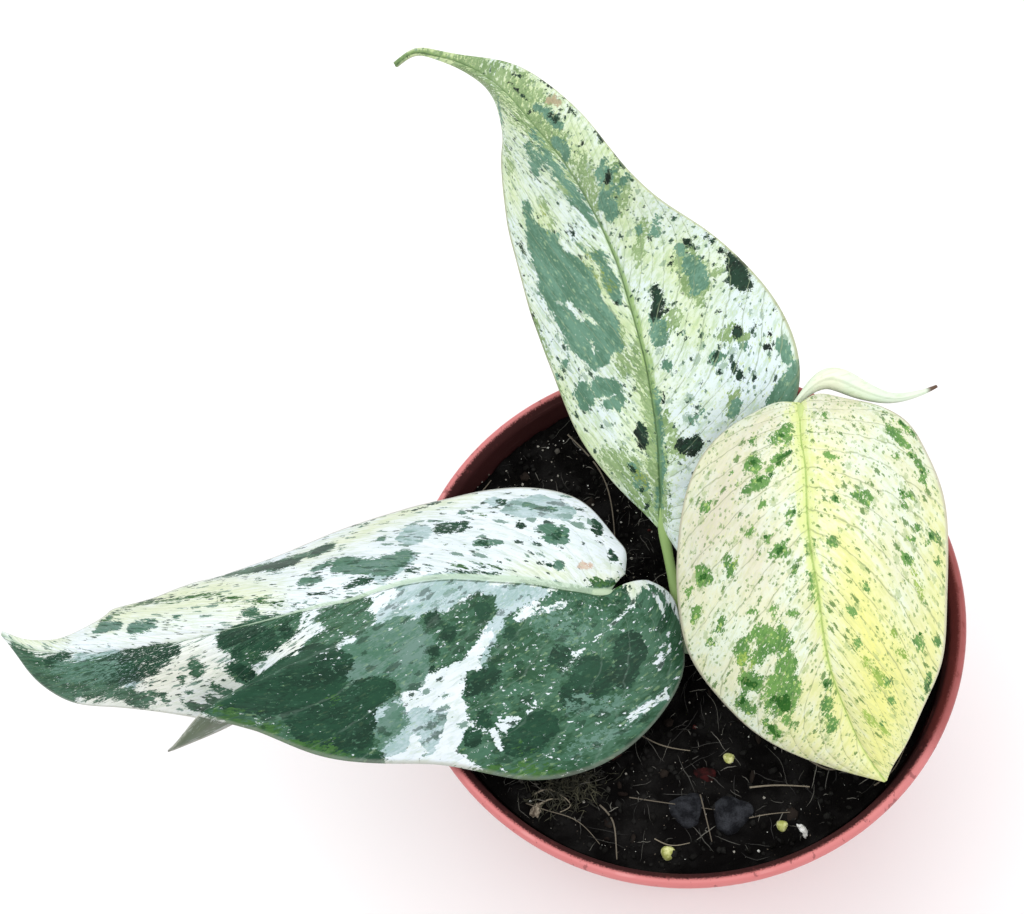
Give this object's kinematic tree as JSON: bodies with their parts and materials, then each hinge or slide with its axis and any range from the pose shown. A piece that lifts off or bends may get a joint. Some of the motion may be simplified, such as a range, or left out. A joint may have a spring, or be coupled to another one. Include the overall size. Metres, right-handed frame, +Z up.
{
  "type": "potted plant",
  "caption": "Potted satin scindapsus: a rooted cutting with open variegated leaves on thin stalks and a furled young leaf, in soil in a tapering nursery pot.",
  "frame": {"origin": "middle of the pot's flat base, on the surface that the pot stands on", "axes": "+Z up along the pot's axis; seen from above with +Y away, the largest leaf reaches out towards -X, the upright leaf towards +Y, and the furled leaf points towards +X"},
  "size_m": [0.205, 0.21, 0.155],
  "materials": {
    "pot": "salmon moulded plastic",
    "soil": "moist black potting mix",
    "vine_stem": "green stem",
    "upper_leaf": "satin leaf, mint with grey-green marks",
    "left_leaf": "satin leaf, silver and dark green",
    "right_leaf": "satin leaf, cream and lime with green specks",
    "young_leaf": "pale furled leaf",
    "stones": "grey-blue grit",
    "bark_chip": "dark red bark",
    "fertiliser_beads": "yellow-green coated bead",
    "perlite_chip": "white perlite"
  },
  "bodies": {
    "root": {"pot": "pot", "soil": "soil", "vine_stem": "vine_stem", "upper_leaf": "upper_leaf", "left_leaf": "left_leaf", "right_leaf": "right_leaf", "young_leaf": "young_leaf", "stone_1": "stones", "stone_2": "stones", "bark_chip": "bark_chip", "fertiliser_bead_1": "fertiliser_beads", "fertiliser_bead_2": "fertiliser_beads", "fertiliser_bead_3": "fertiliser_beads", "perlite_chip": "perlite_chip"}
  },
  "joints": []
}
